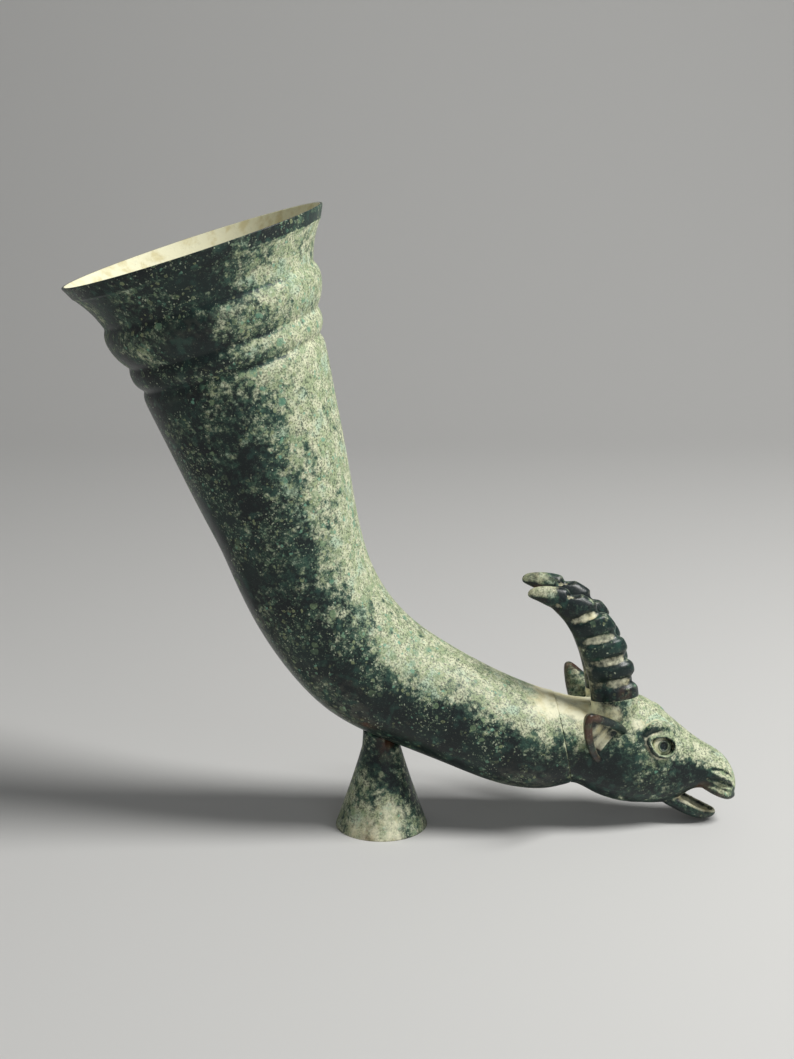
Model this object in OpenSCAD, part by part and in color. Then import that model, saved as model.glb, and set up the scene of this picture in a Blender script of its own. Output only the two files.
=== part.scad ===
// Horn-shaped drinking cup (rhyton) in cast bronze, bent and tapering, ending in the head of an ibex.
// The cup stands on a hollow conical foot, and pours through a channel to the animal's lower lip.
// Millimetres. Z is up, X runs from the mouth of the cup to the muzzle, and y = 0 is the plane of symmetry.
// The origin is the centre of the foot's base ring, on the surface that the cup stands on.

/* [Mouth of the cup] */
// Outer diameter of the rim
rim_diameter = 105; // [102:0.5:108]
// Thickness of the metal at the very edge of the rim
rim_edge = 1.6; // [1.2:0.1:2]
// Height of the thickened band under the rim
rim_band = 5.4; // [4:0.2:7]
// Step between that band and the flare below it
rim_band_step = 1; // [0.6:0.1:1.4]
// Lean of the straight mouth section, in degrees from upright
mouth_lean = 17.5; // [16:0.5:19]
// Length of the straight mouth section, rim to start of bend
mouth_length = 118; // [114:1:122]
// Distance of the first groove below the rim
groove_1_drop = 20; // [18.5:0.1:21.5]
// Distance of the second groove below the rim
groove_2_drop = 36.8; // [35.5:0.1:38]
// Distance of the third groove below the rim
groove_3_drop = 47.2; // [46.2:0.1:48.5]
// Radius in the first groove, at the foot of the flare
groove_1_radius = 42.7; // [42:0.1:43.4]
// Radius in the second groove
groove_2_radius = 38.8; // [38:0.1:39.4]
// Radius in the third groove
groove_3_radius = 36.3; // [35.8:0.1:36.8]
// Swell of the broad ring between the first two grooves
ring_1_swell = 2.4; // [1.6:0.1:3.2]
// Swell of the narrow ring between the last two grooves
ring_2_swell = 1.3; // [0.8:0.1:2]
// Radius of the plain horn just below the rings
shoulder_radius = 37; // [36.9:0.1:37.6]
// Distance from the third groove down to that plain part
shoulder_gap = 4.3; // [3.8:0.1:4.8]

/* [Body of the cup] */
// Radius where the bend begins
waist_radius = 28; // [27.6:0.1:28.6]
// Radius in the middle of the bend
bend_radius = 25.6; // [25:0.1:26.4]
// Radius of the lower horn, between the foot and the neck
lower_radius = 21.7; // [21.3:0.1:22.1]
// Radius at the end that receives the head
neck_radius = 19.6; // [19.3:0.1:20]
// Thickness of the metal in the horn
wall = 2; // [1.7:0.1:2.3]

/* [Joint between cup and head] */
// Diameter of the bore in the end of the horn
neck_bore = 33.6; // [33:0.1:34]
// Gap all round between that bore and the spigot of the head
neck_clearance = 0.15; // [0.1:0.05:0.3]
// Length of the spigot
spigot_length = 9; // [7:0.5:10]
// Thickness of the spigot's wall
spigot_wall = 2.6; // [2.2:0.1:3]
// Radius of the head just in front of the seam
nape_radius = 18.6; // [18.2:0.1:19]

/* [Foot] */
// Diameter of the base of the foot
foot_diameter = 38; // [35:0.5:40]
// Height over which the foot tapers
foot_taper_height = 36.5; // [35.5:0.5:37.5]
// Radius of the foot where it meets the horn
foot_top_radius = 7.2; // [6.6:0.1:8]
// Thickness of the metal in the foot
foot_wall = 2.2; // [1.8:0.1:2.6]

/* [Horns] */
// Number of knobs on each horn
horn_knobs = 5; // [4:1:6]
// Distance between the middles of the two horns at their roots
horn_spacing = 15.8; // [15:0.2:16.6]
// Distance between the middles of the two horns at their tips
horn_spread = 22; // [18:0.5:26]
// How far each knob stands out, as a share of the horn's depth
knob_height = 0.12; // [0.08:0.01:0.18]
// Sideways thickness of a horn at its root
horn_thickness = 11.6; // [11:0.2:12.4]
// Diameter of the tenon under a horn
horn_tenon = 7; // [6:0.5:8]
// Length of that tenon in the head
horn_tenon_length = 5; // [4:0.5:5.5]
// Length by which it runs on inside the horn
horn_tenon_hold = 4; // [3:0.5:6]
// Gap all round between tenons or inlays and their sockets
socket_clearance = 0.15; // [0.1:0.05:0.25]

/* [Ears] */
// Length of an ear
ear_length = 29.5; // [28:0.5:31]
// Width of an ear at its root
ear_width = 18; // [16:0.5:19]
// Depth of an ear, from the plane of its edges to its back
ear_depth = 4.4; // [4:0.1:5]
// Thickness of an ear in its hollow
ear_wall = 2; // [1.6:0.1:2.4]
// Diameter of the tenon of an ear
ear_tenon = 4; // [3.2:0.1:4.2]
// Length of that tenon in the head
ear_tenon_length = 4; // [3:0.5:4.5]
// Length by which it runs on inside the ear
ear_tenon_hold = 2; // [1.5:0.1:2.2]

/* [Eyes] */
// Diameter of an eye inlay
eye_diameter = 8; // [7:0.2:8.6]
// Depth of the inlay's seat in the head
eye_seat = 2.4; // [2:0.1:2.8]
// Diameter of the raised iris ring
iris_diameter = 5.4; // [4.6:0.1:5.8]
// Diameter of the raised pupil
pupil_diameter = 3; // [2.4:0.1:3.2]

/* [Pouring channel] */
// Diameter of the channel from the hollow head to the mouth
channel_diameter = 7; // [6:0.2:7.4]

/* [Hidden] */
patina = [0.13, 0.19, 0.16];
pale = [0.62, 0.58, 0.42];
round_fn = 96;
body_sides = 40;
body_rings = 28;
head_sides = 36;
head_rings = 30;
horn_sides = 18;
horn_rings = 40;
ear_sides = 18;
ear_rings = 12;
seat_gap = 0.3;
joint_step = 0.15;
joint_overlap = 0.5;

rim_radius = rim_diameter / 2;
foot_radius = foot_diameter / 2;
neck_bore_radius = neck_bore / 2;
spigot_radius = neck_bore_radius - neck_clearance;
hollow_radius = spigot_radius - spigot_wall;
hollow_start = hollow_radius - 0.5;

// Stations of the bent horn: centre x, centre z, angle of the section from level, outer radius, metal
bend_start = [-36.6, 126.8];
body = [
    [bend_start[0], bend_start[1], mouth_lean, waist_radius - joint_step, wall - 2 * joint_step],
    [-33, 114.5, 18.5, waist_radius - 1, wall],
    [-28, 101.5, 24.5, bend_radius + 0.6, wall],
    [-22, 90.5, 31, bend_radius + 0.2, wall],
    [-15, 80.5, 40, bend_radius, wall],
    [-7.5, 72.2, 47.5, bend_radius - 0.1, wall],
    [0.5, 66, 55, bend_radius - 0.8, wall],
    [9, 61, 60.5, bend_radius - 1.8, wall],
    [21.5, 54.4, 63, lower_radius + 0.9, wall],
    [36, 47.2, 64.5, lower_radius, wall],
    [48, 41.6, 68, lower_radius, wall],
    [58, 38, 77, lower_radius - 0.2, wall + 1],
    [66, 36.8, 90, lower_radius - 0.8, wall + 2.2],
    [74.5, 37.6, 101, neck_radius, wall + 1.6]
];
seam = body[len(body) - 1];
seam_point = [seam[0], 0, seam[1]];
seam_axis = [sin(seam[2]), 0, -cos(seam[2])];
seam_rise = [cos(seam[2]), sin(seam[2])];
seam_centre = [seam[0], seam[1]];

// Stations of the head: top x and z, bottom x and z, half width, squareness
skull = [
    [each seam_centre + nape_radius * seam_rise, each seam_centre - nape_radius * seam_rise, nape_radius, 2],
    [75.4, 54.8, 80.6, 18.6, nape_radius - 0.4, 2],
    [81, 53.6, 84.5, 15.8, 17.8, 2],
    [88, 53.4, 89, 13, 17.4, 2.05],
    [95, 54.4, 94.5, 10.8, 17.6, 2.1],
    [102, 55.8, 100, 9.4, 17.6, 2.1],
    [108, 54.6, 105.5, 8.8, 16.8, 2.1],
    [113, 51.2, 110, 8.6, 15.6, 2.1],
    [118, 47, 114.5, 8.4, 14.2, 2.1],
    [123, 42.6, 119, 8.8, 12.6, 2.1],
    [128, 38.2, 123.5, 10.6, 11.2, 2.1],
    [132.5, 34.8, 128, 14.6, 10, 2.1],
    [137, 32.2, 133, 15.4, 9.3, 2.15],
    [141.3, 29.6, 138, 12.2, 9, 2.2],
    [144.8, 25.6, 142.3, 9.8, 8, 2.1],
    [147, 20.4, 145.4, 9.6, 5.6, 2],
    [147.7, 16.4, 147.2, 12.6, 2.2, 2]
];

// Stations of the hollow inside the head
hollow = [
    [each seam_centre + hollow_start * seam_rise, each seam_centre - hollow_start * seam_rise, hollow_start, 2],
    [80, 48.2, 83.4, 21.6, 13, 2],
    [88, 45.4, 90, 17.8, 11.6, 2],
    [96, 43.6, 96.4, 15.4, 10.8, 2],
    [104, 41, 102.6, 13.8, 10.2, 2],
    [110.5, 36.4, 107.6, 13.6, 8.6, 2],
    [115.4, 30.4, 112.2, 14.6, 6, 2],
    [118.4, 24.6, 116.6, 17.4, 2.8, 2]
];

// Stations of the lower lip, a short trough that the cup pours over
lip = [
    [121, 14, 118, 8, 7.6, 2.1],
    [127, 12, 123.5, 4.8, 7.6, 2.1],
    [131, 9.8, 128.5, 2.2, 7, 2.1],
    [134.6, 7.8, 133, 0.9, 6, 2.1],
    [137.6, 6, 136.8, 1, 4.4, 2.1],
    [140.2, 4.4, 140, 2.4, 1.8, 2]
];

// Stations of the hollow of that trough
trough = [
    [122.5, 15, 121, 9, 3.2, 2],
    [127.6, 15.4, 126, 6.6, 5.2, 2],
    [132, 13.4, 130.8, 4.4, 5.2, 2],
    [135.8, 11, 135, 3.2, 4, 2],
    [139.4, 8.4, 139, 3.6, 1.4, 2]
];

// Rear edge, front edge and sideways thickness of a horn, root to tip: x, z, x, z, share of thickness
horn = [
    [84.8, 56, 104.8, 58.2, 1],
    [84.2, 62, 103.8, 64.8, 0.99],
    [82.8, 68, 102.2, 71.6, 0.97],
    [80.8, 74, 99.8, 78.4, 0.94],
    [78.4, 80.2, 96.8, 85.2, 0.9],
    [75.6, 86.2, 92.2, 92.2, 0.85],
    [72.2, 91.2, 86, 98.4, 0.77],
    [68.2, 95.2, 78, 103, 0.66],
    [63.6, 98.2, 69.6, 105.4, 0.52],
    [59.4, 100, 62.2, 105.2, 0.36],
    [56.8, 101, 58.3, 103.8, 0.18]
];
// Bony core under a horn, part of the head: the same outline carried down into the crown
pedicle = [[86.4, 43, 103.6, 45, 0.86], [85.6, 50, 104.6, 52.2, 0.96], horn[0]];
horn_root_y = horn_spacing / 2;
horn_tip_y = horn_spread / 2;
knobs_start = -0.036;
knobs_end = 0.704;
horn_seat = [(horn[0][0] + horn[0][2]) / 2, horn_root_y, (horn[0][1] + horn[0][3]) / 2];
horn_seat_angle = atan2(horn[0][3] - horn[0][1], horn[0][2] - horn[0][0]);

// Ear: middle of its root, tip, and the way that its hollow faces, all on the side with positive y
ear_root = [92.8, 15.7, 39.4];
ear_tip = [80.3, 34.2, 58.8];
ear_face = [0.59, 0.74, -0.32];
ear_along = unit(ear_tip - ear_root);
ear_out = unit(ear_face - (ear_face * ear_along) * ear_along);

// Share of its length by which the leaf runs on into the head, before it is cut to the temple
ear_sunk = 0.12;

// Distance from the root's middle to where the tenon enters the head, and from there back to its axis
ear_tenon_place = [2.5, 1.8];

// Eye: centre of the seat's mouth and the way that it looks
eye_point = [114, 13.8, 37.8];
eye_axis = [0.2, 0.94, 0.28];
lid_radius = 1.2;
brow_point = [110.4, 8.8, 42.4];
brow_radius = 5.6;

// Pouring channel, from the hollow of the head to the trough of the lip
channel_start = [112, 0, 23];
channel_end = [128, 0, 10.4];

// Nostril: a shallow groove on each side of the muzzle
nostril_point = [140.6, 8.9, 20.6];
nostril_axis = [0.9, -0.2, -0.36];
nostril_size = [2, 7.6];

function mix(a, b, t) = a + (b - a) * t;
function clamp(v, lo, hi) = max(lo, min(hi, v));
function unit(v) = v / norm(v);

// Smooth curve through the rows of a table, t from 0 to the last row
function bend(p, t) =
    let (
        n = len(p) - 1,
        i = clamp(floor(t), 0, n - 1),
        u = t - i,
        b = p[i],
        c = p[i + 1],
        a = i > 0 ? p[i - 1] : 2 * b - c,
        d = i < n - 1 ? p[i + 2] : 2 * c - b
    )
    0.5 * (2 * b + (c - a) * u + (2 * a - 5 * b + 4 * c - d) * u * u + (3 * b - a - 3 * c + d) * u * u * u);

// One closed section, rising at an angle in the plane of symmetry; power 2 is a plain ellipse
function section(x, z, angle, rise, half, power, sides) =
    [for (i = [0 : sides - 1])
        let (
            a = 360 * i / sides,
            k = pow(pow(abs(cos(a)), power) + pow(abs(sin(a)), power), -1 / power),
            v = rise * cos(a) * k,
            y = half * sin(a) * k
        )
        [x + v * cos(angle), y, z + v * sin(angle)]];

// Triangles between m rings of n points, the first of which is number o
function ring_faces(o, n, m) =
    [for (k = [0 : m - 2]) for (i = [0 : n - 1])
        let (j = (i + 1) % n, a = o + k * n, b = a + n)
        each [[a + i, a + j, b + j], [a + i, b + j, b + i]]];

// Solid through a list of sections, closed at both ends
module skin(rings) {
    n = len(rings[0]);
    m = len(rings);
    start = [for (i = [n - 1 : -1 : 0]) i];
    finish = [for (i = [0 : n - 1]) (m - 1) * n + i];
    polyhedron(
        points = [for (r = rings) each r],
        faces = concat([start], ring_faces(0, n, m), [finish]),
        convexity = 8);
}

// Tube between two lists of sections that run side by side
module tube(outer, inner) {
    n = len(outer[0]);
    m = len(outer);
    o = n * m;
    e = n * (m - 1);
    inside = [for (f = ring_faces(o, n, m)) [f[0], f[2], f[1]]];
    ends = [for (i = [0 : n - 1])
        let (j = (i + 1) % n)
        each [[j, i, o + i], [j, o + i, o + j], [e + i, e + j, o + e + j], [e + i, o + e + j, o + e + i]]];
    polyhedron(
        points = concat([for (r = outer) each r], [for (r = inner) each r]),
        faces = concat(ring_faces(0, n, m), inside, ends),
        convexity = 10);
}

// Put a child, drawn along Z, onto a point so that its Z lies along a direction
module aim(point, direction) {
    d = unit(direction);
    translate(point)
        rotate([0, acos(d[2]), atan2(d[1], d[0])])
            children();
}

// Lathe outline of the straight mouth section: radius, and distance below the rim
shoulder_drop = groove_3_drop + shoulder_gap;
band_radius = mix(rim_radius, groove_1_radius, 0.25);
flare_radius = band_radius - rim_band_step;
flare_drop = rim_band + 0.8;

// Rounded ring between two grooves
function swell(drop_0, radius_0, drop_1, radius_1, height, steps) =
    [for (i = [0 : steps])
        let (t = i / steps)
        [mix(radius_0, radius_1, t) + height * pow(sin(180 * t), 0.85), mix(drop_0, drop_1, t)]];

// Hollow flare from under the rim band to the first groove
function flare(steps) =
    [for (i = [0 : steps - 1])
        let (t = i / steps)
        [mix(groove_1_radius, flare_radius, pow(1 - t, 1.45)), mix(flare_drop, groove_1_drop, t)]];

mouth_outside = concat(
    [[rim_radius, 0], [rim_radius - 0.1, 1.2], [band_radius, rim_band]],
    flare(8),
    swell(groove_1_drop, groove_1_radius, groove_2_drop, groove_2_radius, ring_1_swell, 12),
    [for (p = swell(groove_2_drop, groove_2_radius, groove_3_drop, groove_3_radius, ring_2_swell, 10))
        if (p[1] > groove_2_drop) p],
    [[mix(groove_3_radius, shoulder_radius, 0.7), mix(groove_3_drop, shoulder_drop, 0.4)],
     [shoulder_radius, shoulder_drop],
     [waist_radius, mouth_length]]);

mouth_inside = [
    [waist_radius - wall, mouth_length],
    [mix(shoulder_radius, waist_radius, 0.1) - wall, mix(shoulder_drop, mouth_length, 0.1)],
    [groove_3_radius - wall + 0.2, groove_3_drop],
    [groove_2_radius - wall - 0.1, groove_2_drop],
    [mix(groove_1_radius, groove_2_radius, 0.5) - wall - 0.4, mix(groove_1_drop, groove_2_drop, 0.5)],
    [groove_1_radius - wall - 0.5, groove_1_drop + 1],
    [groove_1_radius - wall + 0.4, mix(groove_1_drop, flare_drop, 0.3)],
    [mix(groove_1_radius, rim_radius, 0.33) - wall, mix(groove_1_drop, flare_drop, 0.7)],
    [mix(groove_1_radius, rim_radius, 0.66) - wall, rim_band],
    [rim_radius - rim_edge, 0]
];

// Stand a shape drawn around Z, rim at z = 0, on the start of the bend
module at_mouth() {
    translate([bend_start[0], 0, bend_start[1]])
        rotate([0, -mouth_lean, 0])
            translate([0, 0, mouth_length])
                children();
}

// Sections of the bent horn, where inside is 0 for the outside and 1 for the inside
function body_section(s, inside) =
    section(s[0], s[1], s[2], s[3] - inside * s[4], s[3] - inside * s[4], 2, body_sides);

// The first of them lies within the metal of the mouth section, so that the two run together
first_row = body[0] + joint_overlap * [-sin(mouth_lean), cos(mouth_lean), 0, 0, 0];
function body_sections(inside) =
    concat(
        [body_section(first_row, inside)],
        [for (k = [1 : body_rings]) body_section(bend(body, (len(body) - 1) * k / body_rings), inside)]);
body_outside = body_sections(0);
belly = [9, 20];

module beaker() {
    color(patina)
        difference() {
            union() {
                at_mouth()
                    rotate_extrude($fn = round_fn)
                        polygon([for (p = concat(mouth_outside, mouth_inside)) [p[0], -p[1]]]);
                tube(body_outside, body_sections(1));
            }
            aim(seam_point, -seam_axis)
                translate([0, 0, -1])
                    cylinder(h = spigot_length + seat_gap + 1, r = neck_bore_radius, $fn = round_fn);
        }
}

// Foot: a hollow cone with slightly sunken sides, cut to the belly of the horn that it carries
foot_reach = 50;
foot_steps = [0, 0.04, 0.27, 0.5, 0.7, 0.9, 1];
foot_line = concat(
    [for (t = foot_steps)
        [mix(foot_radius, foot_top_radius, t) - 0.6 * sin(180 * t), foot_taper_height * t]],
    [[foot_top_radius, foot_reach]]);

module foot() {
    inner_line = [for (i = [len(foot_line) - 1 : -1 : 0]) [foot_line[i][0] - foot_wall, foot_line[i][1]]];
    color(patina)
        difference() {
            rotate_extrude($fn = round_fn)
                polygon(concat(foot_line, inner_line));
            skin([for (k = [belly[0] : belly[1]]) body_outside[k]]);
        }
}

// Section of the head at one row of its table
function slice(s, sides) =
    let (rise = [s[0] - s[2], s[1] - s[3]])
    section((s[0] + s[2]) / 2, (s[1] + s[3]) / 2, atan2(rise[1], rise[0]), norm(rise) / 2, s[4], s[5], sides);
function swept(table, count, sides) =
    [for (k = [0 : count]) slice(bend(table, (len(table) - 1) * k / count), sides)];
skull_rings = swept(skull, head_rings, head_sides);

// Part of the skull to which the ears are fitted
temple = [3, 12];
module temples() {
    skin([for (k = [temple[0] : temple[1]]) skull_rings[k]]);
}

module both_sides() {
    children();
    mirror([0, 1, 0])
        children();
}

module head() {
    color(patina)
        difference() {
            union() {
                skin(skull_rings);
                difference() {
                    skin(swept(lip, 10, 20));
                    skin(swept(trough, 8, 16));
                }
                aim(seam_point, -seam_axis)
                    translate([0, 0, -1])
                        cylinder(h = spigot_length + 1, r = spigot_radius, $fn = round_fn);
                both_sides() {
                    skin([for (k = [0 : 6]) horn_section(bend(pedicle, k / 3), knob_share(0), horn_root_y)]);
                    eyelid();
                    translate(brow_point)
                        sphere(r = brow_radius, $fn = 48);
                }
            }
            skin(swept(hollow, 12, 24));
            aim(seam_point, -seam_axis)
                translate([0, 0, -1])
                    cylinder(h = spigot_length + 2, r = hollow_radius, $fn = round_fn);
            aim(channel_start, channel_end - channel_start)
                cylinder(h = norm(channel_end - channel_start), d = channel_diameter, $fn = 48);
            both_sides() {
                horn_peg(socket_clearance);
                ear_peg(socket_clearance);
                eye_seat_hole();
                nostril();
            }
        }
}

// Fittings on the side with positive y; a gap makes the socket that receives each
module horn_peg(gap) {
    translate(horn_seat)
        rotate([0, -horn_seat_angle, 0])
            translate([0, 0, -horn_tenon_length - 2 * gap])
                cylinder(h = horn_tenon_length + horn_tenon_hold + 2 * gap, d = horn_tenon + 2 * gap, $fn = 48);
}

module ear_peg(gap) {
    entry = ear_root + ear_tenon_place[0] * ear_along - ear_tenon_place[1] * ear_out;
    aim(entry, -ear_along)
        translate([0, 0, -ear_tenon_hold])
            cylinder(h = ear_tenon_length + ear_tenon_hold + 2 * gap, d = ear_tenon + 2 * gap, $fn = 48);
}

module eyelid() {
    aim(eye_point, eye_axis)
        rotate_extrude($fn = 48)
            translate([eye_diameter / 2 + lid_radius - 0.2, -0.3])
                circle(r = lid_radius, $fn = 24);
}

module eye_seat_hole() {
    aim(eye_point, eye_axis)
        translate([0, 0, -eye_seat])
            cylinder(h = eye_seat + 4, d = eye_diameter + 2 * socket_clearance, $fn = 48);
}

module nostril() {
    aim(nostril_point, nostril_axis)
        translate([0, 0, -nostril_size[1] / 2])
            cylinder(h = nostril_size[1], d = nostril_size[0], $fn = 24);
}

// Section of a horn: the rear edge stays put, and the front and sides shrink towards it in the grooves
function horn_section(s, grow, y0) =
    [for (i = [0 : horn_sides - 1])
        let (
            a = 360 * i / horn_sides,
            f = 0.5 + 0.5 * cos(a),
            p = mix([s[0], s[1]], [s[2], s[3]], f * grow),
            y = y0 - 0.5 * horn_thickness * s[4] * sin(a) * mix(1, grow, f)
        )
        [p[0], y, p[1]]];

// Share of the full depth at a share t of the horn's length: knobs, then a plain tapering tip
function knob_share(t) =
    let (run = (t - knobs_start) / (knobs_end - knobs_start))
    1 - knob_height * (run <= 0 || run >= 1 ? max(0, 1 - 8 * abs(clamp(run, 0, 1) - run))
        : 1 - pow(abs(sin(180 * horn_knobs * run)), 0.6));

module horn_piece() {
    color(patina)
        union() {
            skin([for (k = [0 : horn_rings])
                let (t = k / horn_rings)
                horn_section(bend(horn, (len(horn) - 1) * t), knob_share(t),
                    mix(horn_root_y, horn_tip_y, t))]);
            horn_peg(0);
        }
}

module horn_left() {
    horn_piece();
}

module horn_right() {
    mirror([0, 1, 0])
        horn_piece();
}

// Section of an ear at a share t of its length: a pointed leaf with a thick rim round a scooped hollow
function ear_half(t) = ear_width / 2 * pow(sin(180 * (0.45 + 0.55 * t)), 0.8) + 0.3;
function ear_section(t) =
    let (
        half = ear_half(t),
        back = ear_depth * half / (ear_width / 2),
        rim = 0.6 * back,
        scoop = max(0, back + rim - ear_wall) * pow(sin(180 * clamp(1.05 * t, 0, 1)), 1.2),
        n = ear_sides / 2
    )
    concat(
        [for (i = [0 : n]) [half * cos(180 * i / n), -back * sin(180 * i / n)]],
        [for (i = [1 : n - 1])
            let (u = sin(180 * i / n))
            [-half * cos(180 * i / n), rim * u - scoop * pow(u, 3)]]);

module ear_leaf() {
    across = cross(ear_out, ear_along);
    skin([for (k = [0 : ear_rings])
        let (t = mix(-ear_sunk, 1, k / ear_rings))
        [for (q = ear_section(t)) ear_root + ear_along * ear_length * t + across * q[0] + ear_out * q[1]]]);
}

module ear_piece() {
    color(patina)
        union() {
            difference() {
                ear_leaf();
                temples();
            }
            ear_peg(0);
        }
}

module ear_left() {
    ear_piece();
}

module ear_right() {
    mirror([0, 1, 0])
        ear_piece();
}

// Eye: a round inlay with a raised iris ring and pupil
module eye_piece() {
    iris = iris_diameter / 2;
    pupil = pupil_diameter / 2;
    color(pale)
        aim(eye_point, eye_axis)
            rotate_extrude($fn = 48)
                polygon([[0, -eye_seat], [eye_diameter / 2, -eye_seat], [eye_diameter / 2, 0.1],
                         [iris + 0.2, 0.7], [iris, 1.1], [iris - 0.5, 1.1], [iris - 0.7, 0.7],
                         [pupil + 0.1, 0.8], [pupil, 1.2], [pupil * 0.6, 1.5], [0, 1.6]]);
}

module eye_left() {
    eye_piece();
}

module eye_right() {
    mirror([0, 1, 0])
        eye_piece();
}

beaker();
head();
horn_left();
horn_right();
ear_left();
ear_right();
foot();
eye_left();
eye_right();
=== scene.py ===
# %% [markdown]
# # A bronze drinking horn with the head of an ibex
# The cup is a rhyton: one drinks from its ringed mouth, or lets it pour from the animal's lower lip.
# It is cast bronze, and long burial has given it a dark green skin with pale spots and cream earth in
# every groove. The CAD frame says where each part is. This notebook builds the parts again with rounder
# forms, and gives them that skin.

# %% Load the frame
import math

import bpy
from mathutils import Matrix, Vector


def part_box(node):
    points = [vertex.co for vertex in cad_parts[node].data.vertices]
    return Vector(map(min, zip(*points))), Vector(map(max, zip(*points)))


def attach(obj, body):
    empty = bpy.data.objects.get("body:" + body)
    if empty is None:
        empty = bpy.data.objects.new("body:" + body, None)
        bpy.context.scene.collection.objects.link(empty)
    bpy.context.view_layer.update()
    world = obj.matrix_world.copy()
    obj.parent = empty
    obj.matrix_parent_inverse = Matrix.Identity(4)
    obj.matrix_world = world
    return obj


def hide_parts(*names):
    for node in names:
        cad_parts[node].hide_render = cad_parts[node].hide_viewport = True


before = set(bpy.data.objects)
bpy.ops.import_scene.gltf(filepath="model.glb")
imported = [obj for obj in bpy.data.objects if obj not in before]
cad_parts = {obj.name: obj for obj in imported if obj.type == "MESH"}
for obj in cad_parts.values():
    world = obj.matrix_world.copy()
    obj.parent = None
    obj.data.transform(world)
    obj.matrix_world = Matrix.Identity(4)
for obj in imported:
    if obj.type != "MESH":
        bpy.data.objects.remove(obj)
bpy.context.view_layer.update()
MM = 0.001
bpy.ops.object.select_all(action="DESELECT")
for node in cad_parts:
    low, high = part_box(node)
    print(node, [round(v / MM, 1) for v in (*low, *high)])

# %% [markdown]
# ## The camera
# The photograph was taken a little above the cup and almost square to its plane of symmetry. The lens,
# the place and the tilt below put the rim, the foot and the muzzle where the photograph has them.

# %% Camera
# sensor and lens in millimetres, the place in metres, the turns down and aside in degrees
SENSOR, LENS = 36, 60.17
CAMERA_PLACE = (-0.017506, -0.686551, 0.297395)
CAMERA_DOWN, CAMERA_ASIDE = 14, -2
camera = bpy.data.objects.new("camera", bpy.data.cameras.new("camera"))
bpy.context.scene.collection.objects.link(camera)
camera.data.sensor_fit = "VERTICAL"
camera.data.sensor_height = SENSOR
camera.data.lens = LENS
camera.data.clip_start = 0.05
camera.location = CAMERA_PLACE
camera.rotation_euler = (math.radians(90 - CAMERA_DOWN), 0, math.radians(CAMERA_ASIDE))
bpy.context.scene.camera = camera
print("camera: looks down by", CAMERA_DOWN, "degrees")

# %% [markdown]
# ## Floor and light
# A floor that curves up into a wall has no horizon, so nothing but the cup draws the eye. The main light
# is a soft one, high on the right and a little in front, because the photograph shows the upper side of
# the lower horn bright and its belly dark. A weak, wide one in front keeps the dark side readable.

# %% Floor, backdrop and lamps
FLOOR_SIZE, WALL_HEIGHT, WALL_CURVE = 3.2, 2, 0.6
bpy.ops.mesh.primitive_plane_add(size=FLOOR_SIZE, location=(0, -0.2, 0))
floor = bpy.context.object
floor.name = "floor"
bpy.ops.object.mode_set(mode="EDIT")
bpy.ops.mesh.select_all(action="DESELECT")
bpy.ops.object.mode_set(mode="OBJECT")
for edge in floor.data.edges:
    edge.select = all(floor.data.vertices[i].co.y > 0 for i in edge.vertices)
bpy.ops.object.mode_set(mode="EDIT")
bpy.ops.mesh.select_mode(type="EDGE")
bpy.ops.mesh.extrude_region_move(TRANSFORM_OT_translate={"value": (0, 0, WALL_HEIGHT)})
bpy.ops.object.mode_set(mode="OBJECT")
bevel = floor.modifiers.new("curve", "BEVEL")
bevel.width, bevel.segments, bevel.limit_method = WALL_CURVE, 24, "ANGLE"
bpy.ops.object.modifier_apply(modifier="curve")
bpy.ops.object.shade_smooth()


def plain(name, colour, roughness):
    made = bpy.data.materials.new(name)
    made.use_nodes = True
    shader = made.node_tree.nodes["Principled BSDF"]
    shader.inputs["Base Color"].default_value = (*colour, 1)
    shader.inputs["Roughness"].default_value = roughness
    return made


floor.data.materials.append(plain("pale paper", (0.62, 0.62, 0.61), 0.9))


def lamp(name, place, aim, size, power, colour=(1, 1, 1)):
    light = bpy.data.lights.new(name, "AREA")
    light.shape, light.size, light.energy, light.color = "DISK", size, power, colour
    made = bpy.data.objects.new(name, light)
    bpy.context.scene.collection.objects.link(made)
    made.location = place
    made.rotation_euler = (Vector(aim) - Vector(place)).to_track_quat("-Z", "Y").to_euler()


lamp("main light", (0.81, -0.28, 1.09), (0.02, 0, 0.1), 0.5, 19, (1, 0.99, 0.97))
lamp("front light", (0.45, -1.2, 0.7), (0, 0, 0.1), 0.9, 1.5, (0.93, 0.98, 1))

world = bpy.data.worlds.new("soft room")
bpy.context.scene.world = world
world.use_nodes = True
sky = world.node_tree.nodes["Background"]
sky.inputs["Color"].default_value = (0.8, 0.8, 0.8, 1)
AMBIENT, BACKGROUND = 0.19, 0.42


def room_maths(operation, a, b):
    """One sum of the world's nodes; each term is a number or another node's output."""
    made = world.node_tree.nodes.new("ShaderNodeMath")
    made.operation = operation
    for socket, value in zip(made.inputs, (a, b)):
        if isinstance(value, bpy.types.NodeSocket):
            world.node_tree.links.new(value, socket)
        else:
            socket.default_value = value
    return made.outputs[0]


# seen directly or in a reflection, the room has the strength BACKGROUND; as light it has only AMBIENT
rays = world.node_tree.nodes.new("ShaderNodeLightPath").outputs
reflected = room_maths("MAXIMUM", rays["Is Glossy Ray"], rays["Is Transmission Ray"])
seen = room_maths("MAXIMUM", rays["Is Camera Ray"], reflected)
strength = room_maths("ADD", room_maths("MULTIPLY", seen, BACKGROUND - AMBIENT), AMBIENT)
world.node_tree.links.new(strength, sky.inputs["Strength"])
bpy.context.scene.view_settings.view_transform = "Standard"
print("floor:", len(floor.data.polygons), "faces")

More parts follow.
